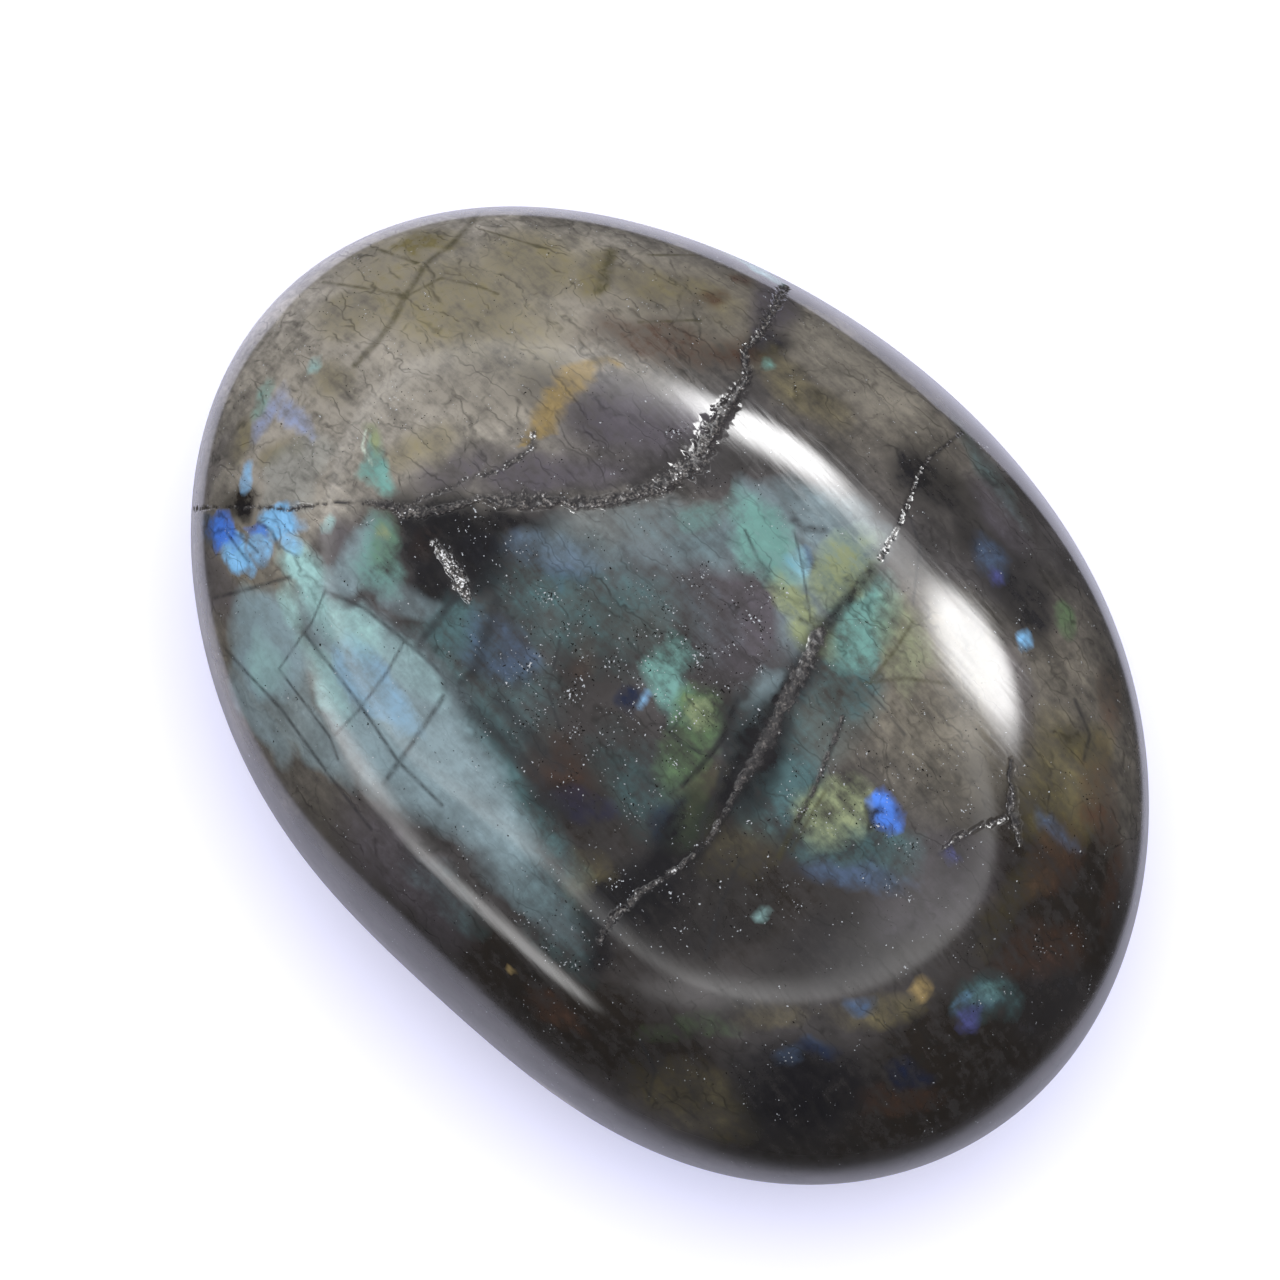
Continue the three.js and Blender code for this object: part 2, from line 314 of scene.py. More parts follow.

# Marks of each stain, and of each flash of painted sheen: where the camera sees its middle, half length,
# half width, turn as seen, strength
MARKS = {
    "pale feldspar": [
        ((420, 330), 16.0, 10.5, 20, 1.0), ((600, 270), 8.0, 5.5, -15, 0.75),
        ((300, 470), 7.0, 4.6, 60, 0.95), ((640, 515), 4.6, 1.8, 4, 0.55),
        ((852, 364), 5.0, 2.4, -42, 0.95),
    ],
    "bright feldspar": [
        ((345, 272), 7.5, 3.6, 25, 0.7), ((640, 500), 3.4, 1.2, 4, 0.3),
    ],
    "warm grey": [
        ((500, 395), 5.5, 2.2, -5, 0.4), ((850, 370), 12.0, 5.5, -42, 0.55),
        ((700, 300), 7.0, 4.0, -10, 0.8), ((240, 640), 9.5, 4.5, 110, 0.85),
        ((300, 780), 9.0, 3.0, -52, 0.5), ((940, 700), 7.0, 5.6, -50, 0.95),
        ((1085, 720), 7.6, 4.4, 100, 0.6), ((830, 700), 5.5, 3.4, -50, 0.5),
        ((640, 590), 7.0, 4.0, 0, 0.35), ((1104, 850), 2.6, 1.0, 85, 0.4),
    ],
    "brown black": [
        ((690, 900), 9.5, 4.2, 5, 0.75), ((1040, 890), 8.0, 5.0, 90, 0.85),
        ((960, 1060), 10.0, 4.5, 35, 0.95), ((610, 1033), 7.0, 3.8, -30, 0.95),
        ((500, 975), 4.5, 2.6, -38, 0.85), ((405, 912), 7.0, 2.8, -46, 0.6),
        ((240, 503), 1.6, 0.9, 0, 0.9), ((1095, 915), 6.0, 3.0, 95, 0.9),
        ((900, 930), 7.0, 3.6, 10, 0.55), ((590, 650), 3.4, 2.2, 75, 0.6),
        ((600, 790), 5.0, 4.0, -30, 0.7), ((540, 378), 2.4, 1.6, 20, 0.45),
        ((668, 806), 2.6, 1.4, 60, 0.7), ((722, 822), 2.4, 1.6, 60, 0.75),
        ((800, 1150), 6.0, 2.0, 0, 0.8), ((1020, 1050), 5.0, 2.4, 45, 0.7),
    ],
    "charcoal": [
        ((450, 545), 4.0, 2.6, -35, 1.0), ((436, 590), 2.4, 1.4, -60, 0.85),
        ((645, 878), 6.2, 1.5, 55, 0.95), ((850, 945), 4.5, 2.0, 15, 0.55),
        ((930, 485), 2.6, 2.0, -40, 0.8), ((990, 540), 4.6, 2.0, -52, 0.6),
        ((1025, 600), 2.6, 1.4, -60, 0.85), ((767, 348), 1.6, 1.2, 0, 0.8),
        ((790, 1100), 4.6, 3.4, 0, 0.85), ((755, 765), 3.6, 1.7, 62, 0.9),
        ((800, 675), 3.2, 1.1, 62, 0.75), ((715, 855), 3.4, 1.6, 60, 0.6),
        ((700, 930), 4.0, 1.6, 10, 0.5), ((1074, 738), 1.0, 1.0, 0, 0.8),
        ((1050, 1000), 3.0, 2.2, 40, 0.6), ((500, 600), 3.5, 1.6, -40, 0.5),
    ],
    "mauve grey": [
        ((645, 420), 4.4, 2.4, -4, 0.95), ((550, 474), 4.2, 1.1, 6, 0.85),
        ((460, 470), 3.0, 1.0, 20, 0.75), ((735, 620), 5.4, 3.2, -45, 0.8),
        ((660, 560), 4.6, 1.8, 10, 0.6), ((776, 306), 3.4, 1.4, 80, 0.85),
        ((930, 900), 3.8, 2.2, 20, 0.5), ((955, 850), 3.0, 1.0, 0, 0.3),
        ((400, 870), 5.4, 2.2, -48, 0.6), ((335, 535), 1.6, 1.1, 90, 0.7),
        ((280, 470), 3.4, 2.4, 70, 0.15), ((212, 470), 3.4, 0.9, 70, 0.4),
        ((215, 590), 3.5, 1.4, 110, 0.6), ((1010, 700), 3.6, 2.0, 90, 0.5),
        ((700, 560), 6.0, 4.0, -30, 0.55), ((650, 395), 2.6, 0.9, -6, 0.6),
        ((1000, 515), 2.6, 1.4, -55, 0.6),
    ],
    "olive": [
        ((440, 290), 8.0, 3.6, -25, 0.6), ((425, 243), 2.4, 1.2, 10, 0.85),
        ((353, 306), 3.0, 1.8, 20, 0.55), ((335, 372), 1.8, 1.2, 150, 0.6),
        ((241, 431), 1.8, 1.0, 60, 0.6), ((286, 455), 1.4, 0.9, 0, 0.5),
        ((530, 262), 3.8, 2.8, -10, 0.6), ((600, 275), 2.4, 1.1, 75, 0.65),
        ((680, 290), 3.6, 1.6, -20, 0.5), ((420, 450), 2.4, 1.2, 20, 0.5),
        ((800, 390), 3.6, 1.6, -40, 0.45), ((690, 1105), 4.2, 2.4, -25, 0.3),
        ((695, 800), 2.6, 1.2, 60, 0.35), ((735, 850), 2.6, 1.8, 40, 0.25),
        ((1090, 745), 1.6, 1.4, 0, 0.6), ((1060, 780), 4.0, 2.8, 70, 0.5),
        ((588, 885), 1.4, 2.0, 0, 0.5), ((1015, 900), 4.5, 1.6, 55, 0.2),
        ((880, 1010), 2.4, 1.0, 10, 0.4), ((770, 1010), 2.8, 1.2, 0, 0.35),
    ],
    "rust": [
        ((590, 655), 1.7, 0.9, 75, 0.7), ((566, 770), 2.8, 1.8, -30, 0.5),
        ((424, 541), 1.0, 0.6, -50, 0.75), ((664, 343), 5.0, 1.5, -5, 0.6),
        ((735, 347), 1.4, 1.2, 0, 0.7), ((706, 302), 1.6, 0.6, 25, 0.6),
        ((743, 280), 0.9, 0.6, 0, 0.7), ((1112, 700), 2.6, 1.3, 90, 0.5),
        ((1092, 809), 1.2, 0.9, 0, 0.6), ((1050, 860), 2.6, 1.4, 70, 0.5),
        ((1042, 956), 3.0, 1.6, 20, 0.4), ((1112, 880), 2.6, 1.0, 80, 0.4),
        ((1098, 790), 3.4, 1.1, 95, 0.5), ((900, 1100), 2.4, 1.2, 10, 0.5),
        ((560, 1010), 2.0, 1.0, -30, 0.5),
    ],
    "gold": [
        ((576, 386), 1.6, 1.1, 48, 1.0), ((559, 411), 2.0, 1.0, 60, 1.0),
        ((532, 446), 0.7, 0.35, 30, 0.8), ((595, 372), 0.9, 0.3, 10, 0.8),
        ((508, 980), 0.35, 0.3, 0, 0.8), ((922, 989), 0.5, 0.35, 20, 0.9),
    ],
    "dim teal": [
        ((600, 605), 6.5, 3.6, -15, 0.5), ((660, 520), 3.0, 1.4, 0, 0.45),
        ((790, 720), 5.0, 3.2, 60, 0.5), ((480, 690), 5.0, 2.6, -52, 0.5),
        ((455, 632), 2.4, 1.7, -30, 0.85), ((550, 585), 3.0, 1.6, 10, 0.75),
        ((630, 600), 3.0, 1.6, 0, 0.6), ((490, 740), 3.2, 1.6, -50, 0.75),
        ((525, 805), 5.2, 1.5, -57, 0.85), ((540, 880), 4.0, 1.8, -50, 0.6),
        ((785, 785), 3.0, 1.9, 55, 0.8), ((845, 848), 3.8, 1.5, -10, 0.85),
        ((842, 680), 3.0, 1.9, 60, 0.8), ((700, 540), 2.6, 1.8, 0, 0.5),
        ((990, 470), 3.8, 1.0, -57, 0.4), ((990, 998), 1.6, 1.3, -30, 0.9),
        ((450, 900), 3.0, 1.2, -45, 0.35), ((560, 950), 2.4, 1.2, -30, 0.35),
        ((640, 780), 3.6, 2.0, -60, 0.45), ((520, 680), 2.8, 1.5, -40, 0.5),
    ],
    "dim blue": [
        ((495, 650), 2.2, 1.6, -50, 0.7), ((548, 560), 2.4, 1.1, -10, 0.85),
        ((531, 539), 1.2, 0.6, 0, 0.75), ((855, 878), 3.2, 0.8, -4, 0.85),
        ((991, 555), 1.6, 1.0, -50, 0.6), ((1052, 830), 1.7, 0.6, -45, 0.6),
        ((212, 527), 1.5, 0.7, -50, 0.85), ((863, 1002), 0.7, 0.5, 0, 0.8),
        ((785, 1060), 0.7, 0.4, 20, 0.8), ((815, 1048), 0.8, 0.4, 0, 0.7),
        ((984, 1005), 1.2, 1.0, 0, 0.55),
    ],
    "grey panel": [
        ((392, 712), 8.0, 3.4, -52, 0.95), ((690, 535), 5.5, 2.4, -10, 0.4),
        ((590, 540), 4.5, 2.0, 10, 0.35), ((766, 520), 2.6, 1.4, -50, 0.6),
        ((772, 690), 1.8, 1.0, 60, 0.6), ((810, 605), 2.4, 1.4, 60, 0.55),
        ((470, 800), 6.4, 2.6, -54, 0.85), ((262, 645), 3.4, 2.4, -60, 1.0),
        ((300, 720), 5.0, 1.5, -50, 0.6), ((530, 890), 4.0, 1.4, -52, 0.4),
        ((400, 590), 2.4, 1.0, -35, 0.5), ((356, 562), 2.4, 1.2, 60, 0.8),
        ((262, 720), 3.4, 1.4, -60, 0.7), ((300, 470), 3.0, 1.6, 60, 0.25),
        ((830, 520), 3.8, 2.2, -35, 0.65),
    ],
    "mint": [
        ((352, 630), 2.7, 1.5, -35, 0.75), ((850, 562), 2.4, 1.6, 55, 0.5),
        ((784, 562), 2.0, 1.1, -55, 0.95), ((328, 602), 2.0, 1.1, -45, 0.85),
        ((260, 657), 1.8, 0.9, -60, 0.6), ((776, 556), 1.7, 0.6, -55, 0.6),
        ((410, 668), 3.4, 1.1, -52, 0.35), ((322, 680), 3.0, 1.0, -50, 0.6),
        ((306, 568), 2.1, 1.3, -50, 1.0), ((288, 610), 1.6, 0.9, -60, 0.6),
        ((313, 363), 0.75, 0.55, 30, 0.95), ((328, 517), 0.6, 0.4, -60, 0.75),
        # The thin mark at (371, 444) is a painted highlight on that same bright edge
        ((371, 444), 0.8, 0.2, -60, 0.85), ((763, 545), 1.5, 0.6, -60, 0.75),
        ((757, 268), 1.8, 0.6, -28, 0.7), ((759, 916), 0.5, 0.32, -30, 1.0),
    ],
    "sea green": [
        ((378, 470), 2.1, 0.75, -78, 0.9), ((764, 545), 3.2, 1.3, -58, 0.9),
        ((868, 622), 3.0, 1.7, 60, 0.9), ((665, 665), 1.5, 1.2, 30, 0.9),
        ((676, 700), 1.6, 0.9, -60, 0.75), ((378, 552), 2.0, 1.2, -70, 0.75),
        ((697, 512), 1.3, 1.0, 0, 0.55), ((262, 392), 0.9, 0.5, 60, 0.5),
        ((994, 999), 0.9, 0.8, 0, 0.35), ((764, 364), 0.5, 0.5, 0, 0.7),
    ],
    "leaf green": [
        ((698, 716), 1.6, 1.9, 0, 0.9), ((680, 762), 1.4, 1.7, 0, 0.7),
        ((382, 540), 1.4, 0.9, -70, 0.5), ((690, 820), 2.0, 1.6, 60, 0.4),
        ((1064, 616), 0.8, 0.8, 0, 0.6), ((685, 1027), 3.0, 1.0, 0, 0.25),
    ],
    "yellow green": [
        ((806, 612), 2.6, 1.0, -45, 0.8), ((848, 566), 2.4, 1.7, 55, 1.0),
        ((828, 812), 2.2, 1.9, 50, 0.8), ((716, 249), 1.9, 0.7, -25, 0.85),
        ((374, 438), 1.3, 0.55, -70, 0.9), ((376, 539), 0.4, 0.35, 0, 0.9),
        ((905, 640), 1.5, 2.6, 0, 0.5), ((701, 710), 1.1, 1.0, 0, 0.6),
    ],
    "sky": [
        ((375, 690), 3.4, 1.3, -55, 0.35), ((284, 521), 1.5, 0.8, 0, 1.0),
        ((232, 552), 1.5, 0.9, -60, 0.95), ((262, 536), 0.9, 0.8, 0, 0.7),
        ((294, 541), 1.0, 0.6, -30, 0.6), ((350, 672), 2.0, 1.0, -50, 0.35),
        ((641, 694), 0.4, 0.5, 0, 0.45), ((1035, 645), 0.6, 0.35, 80, 0.85),
        ((246, 476), 1.1, 0.75, 80, 0.6), ((799, 560), 1.0, 1.2, 0, 0.3),
        ((972, 996), 0.6, 0.6, 0, 0.25), ((252, 543), 1.1, 0.8, -30, 0.7),
    ],
    "royal blue": [
        ((220, 530), 1.5, 0.8, -55, 0.85), ((255, 528), 1.0, 0.45, -12, 0.7),
        ((874, 814), 0.95, 0.9, 20, 1.0),
    ],
    "violet": [
        ((959, 861), 0.7, 0.35, -30, 0.8), ((590, 803), 1.6, 1.0, -20, 0.35),
        ((982, 1022), 0.9, 0.6, -60, 0.9), ((1003, 578), 0.4, 0.35, 0, 0.8),
    ],
    "lilac": [
        ((266, 410), 1.5, 0.8, 60, 0.8), ((294, 412), 1.5, 0.6, -42, 0.9),
        ((309, 432), 0.9, 0.5, -42, 0.85),
    ],
    "navy": [
        ((621, 696), 0.7, 0.6, 0, 0.95), ((670, 822), 1.3, 1.0, 55, 0.7),
        ((816, 1051), 1.0, 0.5, 0, 0.75), ((900, 1071), 1.5, 0.8, 0, 0.7),
        ((475, 552), 1.4, 1.0, -30, 0.4),
    ],
    "ink": [
        ((452, 543), 3.6, 2.0, -38, 0.9), ((430, 575), 1.8, 1.1, -60, 0.8),
        ((408, 520), 0.9, 0.6, -40, 0.8), ((500, 524), 3.8, 0.9, 0, 0.8),
        ((752, 762), 3.6, 1.5, 62, 1.0), ((795, 682), 3.6, 0.55, 62, 0.95),
        ((648, 875), 5.6, 1.1, 55, 0.85), ((700, 840), 2.6, 1.0, 58, 0.6),
        ((735, 720), 2.0, 0.7, 70, 0.5), ((635, 903), 3.4, 1.8, 20, 0.95),
        ((925, 480), 1.6, 1.0, -40, 0.5), ((955, 520), 2.0, 0.9, -55, 0.35),
        ((240, 509), 1.2, 0.5, 0, 0.7), ((575, 800), 2.4, 1.2, -20, 0.6),
        ((800, 1095), 3.6, 2.6, 0, 0.7),
    ],
}

# Where fine dust with painted glints shows under the polish: place, half length, half width, turn, strength
DUST_EVERYWHERE = 0.12
DUST_SOFTNESS = 0.6
DUST_AND_GLINTS = [
    ((600, 690), 7.5, 6.5, -40, 0.8),
    ((720, 640), 6.0, 4.0, -45, 0.8),
    ((480, 560), 4.0, 3.0, -30, 0.8),
    ((690, 900), 8.0, 4.0, 0, 0.6),
    ((880, 800), 6.0, 5.0, 0, 0.6),
    ((800, 1080), 8.0, 4.0, 0, 0.3),
    ((700, 460), 3.0, 2.0, 30, 0.7),
    ((400, 410), 2.5, 1.5, 30, 0.6),
    ((560, 960), 4.0, 2.0, -40, 0.6),
]

# The side that the camera doesn't see is marked in the same way, by chance from a fixed seed
UNSEEN_MARKS = 110
UNSEEN_STAINS_AND_SHEEN = (
    ["pale feldspar", "warm grey", "brown black", "charcoal", "mauve grey", "olive"] * 3
    + ["rust", "dim teal", "dim teal", "dim blue", "grey panel", "sea green", "leaf green", "sky", "mint"]
)
UNSEEN_SIZES = (1.0, 5.5)  # half lengths
UNSEEN_SHAPES = (0.3, 0.8)  # half widths, as shares of the half length
UNSEEN_STRENGTHS = (0.5, 0.95)
UNSEEN_BELOW = 7.5  # height of the highest such mark's middle


def linear(hex_colour):
    """An sRGB hex colour as the linear colour that Blender works in."""
    parts = [int(hex_colour[i : i + 2], 16) / 255 for i in (1, 3, 5)]
    return [c / 12.92 if c <= 0.04045 else ((c + 0.055) / 1.055) ** 2.4 for c in parts] + [1.0]


def add(tree, kind, inputs=None, **settings):
    """Adds a node, applies its settings, and gives each input a link or a value."""
    node = tree.nodes.new(kind)
    for name, value in settings.items():
        setattr(node, name, value)
    for key, value in (inputs or {}).items():
        socket = node.inputs[key]
        if isinstance(value, bpy.types.NodeSocket):
            tree.links.new(value, socket)
        else:
            socket.default_value = value
    return node


def work_out(tree, known, steps):
    """Adds a chain of Math nodes. Each step names its result, which is then known, its operation and what
    it works on."""
    for result, operation, *operands in steps:
        values = [known[operand] if isinstance(operand, str) else operand for operand in operands]
        node = add(tree, "ShaderNodeMath", dict(enumerate(values)), operation=operation)
        known[result] = node.outputs[0]


def laid_over(tree, colour, layers):
    """The colour with the layers laid over it in turn, each by its amount."""
    for amount, over in layers:
        mixed = add(tree, "ShaderNodeMix", {"Factor": amount, "A": colour, "B": over}, data_type="RGBA")
        colour = mixed.outputs["Result"]
    return colour


# The camera
turn, tip = radians(AZIMUTH), radians(ELEVATION)
TOWARDS_CAMERA = Vector((sin(turn) * cos(tip), -cos(turn) * cos(tip), sin(tip)))
PICTURE_RIGHT = Vector((cos(turn), sin(turn), 0))
PICTURE_UP = TOWARDS_CAMERA.cross(PICTURE_RIGHT)
CAMERA_PLACE = AIM + TOWARDS_CAMERA * DISTANCE


def make_camera():
    data = bpy.data.cameras.new("camera")
    data.lens = LENS
    data.sensor_width = SENSOR
    data.clip_start = CLIP_START * MM
    camera = bpy.data.objects.new("camera", data)
    axes = Matrix((PICTURE_RIGHT, PICTURE_UP, TOWARDS_CAMERA)).transposed()
    camera.matrix_world = Matrix.Translation(CAMERA_PLACE * MM) @ axes.to_4x4()
    bpy.context.scene.collection.objects.link(camera)
    bpy.context.scene.camera = camera


def sight_line(seen):
    """The direction in which the camera sees a place of the photograph, given in its pixels."""
    half = PICTURE_SIZE / 2
    focal = LENS / SENSOR * PICTURE_SIZE
    across = PICTURE_RIGHT * (seen[0] - half) - PICTURE_UP * (seen[1] - half)
    return (across - TOWARDS_CAMERA * focal).normalized()


# The stone's form, as a tree of Geometry Nodes that shapes a unit ball
def pebble_tree():
    tree = bpy.data.node_groups.new("polished pebble", "GeometryNodeTree")
    face = tree.interface
    face.new_socket("Geometry", in_out="INPUT", socket_type="NodeSocketGeometry")
    sizes = {
        "Length": LENGTH,
        "Width": WIDTH,
        "Top Dome": TOP_DOME,
        "Under Dome": UNDER_DOME,
        "Ground Off": GROUND_OFF,
        "Squareness": DOME_SQUARENESS,
        "Ground Rounding": GROUND_ROUNDING,
        "Fissure Share": 1.0,
    }
    for name, value in sizes.items():
        face.new_socket(name, in_out="INPUT", socket_type="NodeSocketFloat").default_value = value
    face.new_socket("Fissure Lines", in_out="INPUT", socket_type="NodeSocketObject")
    face.new_socket("Seed", in_out="INPUT", socket_type="NodeSocketInt").default_value = SEED
    face.new_socket("Material", in_out="INPUT", socket_type="NodeSocketMaterial")
    face.new_socket("Geometry", in_out="OUTPUT", socket_type="NodeSocketGeometry")
    given = add(tree, "NodeGroupInput").outputs
    ball = add(tree, "ShaderNodeSeparateXYZ", {0: add(tree, "GeometryNodeInputPosition").outputs[0]}).outputs
    known = {name: given[name] for name in sizes}
    known.update(x=ball[0], y=ball[1], z=ball[2])

    # Where the girdle is in this direction
    steps = [
        ("angle", "ARCTAN2", "y", "x"),
        ("cosine", "COSINE", "angle"),
        ("sine", "SINE", "angle"),
        ("half length", "MULTIPLY", "Length", 0.5),
        ("half width", "MULTIPLY", "Width", 0.5),
        ("width part", "MULTIPLY", "half width", "cosine"),
        ("length part", "MULTIPLY", "half length", "sine"),
        ("width square", "MULTIPLY", "width part", "width part"),
        ("both squares", "MULTIPLY_ADD", "length part", "length part", "width square"),
        ("span", "SQRT", "both squares"),
        ("corner", "MULTIPLY", "half length", "half width"),
        ("girdle", "DIVIDE", "corner", "span"),
    ]
    for count, size, heading in LOBES:
        steps += [
            ("turned", "MULTIPLY_ADD", "angle", count, -radians(count * heading)),
            ("lobe", "COSINE", "turned"),
            ("girdle", "MULTIPLY_ADD", "lobe", size, "girdle"),
        ]

    # How far out and how high the skin is at this rise
    count, size, heading = GIRDLE_WANDER
    steps += [
        ("power", "DIVIDE", 2.0, "Squareness"),
        ("y square", "MULTIPLY", "y", "y"),
        ("plan square", "MULTIPLY_ADD", "x", "x", "y square"),
        ("plan", "SQRT", "plan square"),
        ("reach", "POWER", "plan", "power"),
        ("side", "SIGN", "z"),
        ("rise", "ABSOLUTE", "z"),
        ("bare lift", "POWER", "rise", "power"),
        ("lift", "MULTIPLY", "bare lift", "side"),
        ("radius", "MULTIPLY", "reach", "girdle"),
        ("skin x", "MULTIPLY", "radius", "cosine"),
        ("skin y", "MULTIPLY", "radius", "sine"),
        ("reach square", "MULTIPLY", "reach", "reach"),
        ("turned", "MULTIPLY_ADD", "angle", count, -radians(count * heading)),
        ("wave", "COSINE", "turned"),
        ("wander", "MULTIPLY", "wave", "reach square"),
        ("foot level", "SUBTRACT", "Under Dome", "Ground Off"),
        ("middle", "MULTIPLY_ADD", "wander", size, "foot level"),
        ("is top", "GREATER_THAN", "z", 0.0),
        ("more", "SUBTRACT", "Top Dome", "Under Dome"),
        ("dome", "MULTIPLY_ADD", "is top", "more", "Under Dome"),
    ]
    for height, wavelength, heading, phase in SWELLS:
        turns = 2 * np.pi / wavelength
        steps += [
            ("across", "MULTIPLY_ADD", "skin x", turns * cos(radians(heading)), phase),
            ("wave angle", "MULTIPLY_ADD", "skin y", turns * sin(radians(heading)), "across"),
            ("wave", "SINE", "wave angle"),
            ("dome", "MULTIPLY_ADD", "wave", height, "dome"),
        ]
    steps += [
        ("bare height", "MULTIPLY_ADD", "dome", "lift", "middle"),
        ("height", "SMOOTH_MAX", "bare height", 0.0, "Ground Rounding"),
    ]
    work_out(tree, known, steps)
    skin = add(tree, "ShaderNodeCombineXYZ", {0: known["skin x"], 1: known["skin y"], 2: known["height"]})
    metres = add(tree, "ShaderNodeVectorMath", {0: skin.outputs[0], "Scale": MM}, operation="SCALE")
    skinned = {"Geometry": given["Geometry"], "Position": metres.outputs[0]}
    form = add(tree, "GeometryNodeSetPosition", skinned).outputs[0]

    # The fissure lines, dropped onto the skin
    given_lines = {"Object": given["Fissure Lines"]}
    lines = add(tree, "GeometryNodeObjectInfo", given_lines, transform_space="RELATIVE").outputs["Geometry"]
    below = {"Target Geometry": form, "Ray Direction": (0, 0, -1), "Ray Length": 1.0}
    drop = add(tree, "GeometryNodeRaycast", below).outputs["Hit Position"]
    laid = add(tree, "GeometryNodeSetPosition", {"Geometry": lines, "Position": drop}).outputs[0]

    # How near each place of the skin is to a line, with the place shaken a little so that edges are torn
    place = add(tree, "GeometryNodeInputPosition").outputs[0]
    seeded = {"Vector": place, "W": given["Seed"]}
    noisy = {**seeded, "Scale": 1 / (SHAKE_WIDTH * MM), "Detail": 3.0, "Roughness": 0.65}
    shake = add(tree, "ShaderNodeTexNoise", noisy, noise_dimensions="4D").outputs["Color"]
    centred = add(tree, "ShaderNodeVectorMath", {0: shake, 1: (0.5, 0.5, 0.5)}, operation="SUBTRACT")
    moved = {0: centred.outputs[0], 1: (SHAKE * MM, SHAKE * MM, SHAKE * MM), 2: place}
    shaken = add(tree, "ShaderNodeVectorMath", moved, operation="MULTIPLY_ADD")
    asked = {"Geometry": laid, "Sample Position": shaken.outputs[0]}
    near = add(tree, "GeometryNodeProximity", asked, target_element="EDGES")
    nearest = add(tree, "GeometryNodeSampleNearest", asked, domain="POINT")
    for name in ("half_width", "depth", "glint"):
        stored = add(tree, "GeometryNodeInputNamedAttribute", {"Name": name}, data_type="FLOAT")
        wanted = {"Geometry": laid, "Value": stored.outputs["Attribute"], "Index": nearest.outputs["Index"]}
        sampled = add(tree, "GeometryNodeSampleIndex", wanted, data_type="FLOAT", domain="POINT")
        known["line " + name] = sampled.outputs[0]

    # Torn pits along the fissure, where chips broke out: deepest on the line itself
    cells = {**seeded, "Scale": 1 / (CHIP_WIDTH * MM)}
    chips = add(tree, "ShaderNodeTexVoronoi", cells, voronoi_dimensions="4D").outputs["Color"]
    known["chip"] = add(tree, "ShaderNodeSeparateXYZ", {0: chips}).outputs[0]
    known["distance"] = near.outputs["Distance"]
    known["glint"] = known["line glint"]
    steps = [
        ("widths", "DIVIDE", "distance", "line half_width"),
        ("broken", "MULTIPLY_ADD", "chip", CHIP_BITE, "widths"),
        ("open", "SUBTRACT", OPEN_TO, "broken"),
        ("open", "MULTIPLY", "open", OPEN_SHARPNESS),
        ("open", "MINIMUM", "open", 1.0),
        ("open", "MAXIMUM", "open", 0.0),
        ("halo", "MULTIPLY_ADD", "widths", -BRUISE_FADE, 1.0),
        ("halo", "MAXIMUM", "halo", 0.0),
        ("cut", "MULTIPLY_ADD", "chip", 1 - SHALLOWEST_CHIP, SHALLOWEST_CHIP),
        ("cut", "MULTIPLY", "cut", "open"),
        ("cut", "MULTIPLY", "cut", "line depth"),
        ("cut", "MULTIPLY", "cut", "Fissure Share"),
        ("cut", "MULTIPLY", "cut", -1.0),
    ]
    work_out(tree, known, steps)
    outwards = add(tree, "GeometryNodeInputNormal").outputs[0]
    inwards = add(tree, "ShaderNodeVectorMath", {0: outwards, "Scale": known["cut"]}, operation="SCALE")
    geometry = form
    for name in ("open", "halo", "glint"):
        kept = {"Geometry": geometry, "Name": "fissure_" + name, "Value": known[name]}
        stored = add(tree, "GeometryNodeStoreNamedAttribute", kept, data_type="FLOAT", domain="POINT")
        geometry = stored.outputs[0]
    torn = add(tree, "GeometryNodeSetPosition", {"Geometry": geometry, "Offset": inwards.outputs[0]})
    smooth = add(tree, "GeometryNodeSetShadeSmooth", {0: torn.outputs[0]})
    whole = add(tree, "GeometryNodeRealizeInstances", {0: smooth.outputs[0]})
    material = given["Material"]
    dressed = add(tree, "GeometryNodeSetMaterial", {"Geometry": whole.outputs[0], "Material": material})
    add(tree, "NodeGroupOutput", {0: dressed.outputs[0]})
    return tree


def shaped(ball, tree, **inputs):
    """The plain mesh that the tree makes of a ball, given the tree's named inputs."""
    mesh = bpy.data.meshes.new("ball")
    ball.to_mesh(mesh)
    worker = bpy.data.objects.new("ball", mesh)
    bpy.context.scene.collection.objects.link(worker)
    modifier = worker.modifiers.new("form", "NODES")
    modifier.node_group = tree
    sockets = {item.name: item.identifier for item in tree.interface.items_tree if item.in_out == "INPUT"}
    for name, value in inputs.items():
        modifier[sockets[name]] = value
    bpy.context.view_layer.update()
    evaluated = worker.evaluated_get(bpy.context.evaluated_depsgraph_get())
    result = bpy.data.meshes.new_from_object(evaluated)
    bpy.data.objects.remove(worker)
    bpy.data.meshes.remove(mesh)
    return result


def places(mesh):
    """A mesh's points, in millimetres."""
    flat = np.empty(len(mesh.vertices) * 3)
    mesh.vertices.foreach_get("co", flat)
    return flat.reshape(-1, 3) / MM


def resampled(path, step):
    """Points along a broken line, about a step apart. Anything after x and y goes along with them."""
    points = []
    for start, end in zip(path, path[1:]):
        start, end = np.array(start, float), np.array(end, float)
        count = max(1, round(float(np.hypot(*(end - start)[:2])) / step))
        points += [start + (end - start) * i / count for i in range(count)]
    return points + [np.array(path[-1], float)]


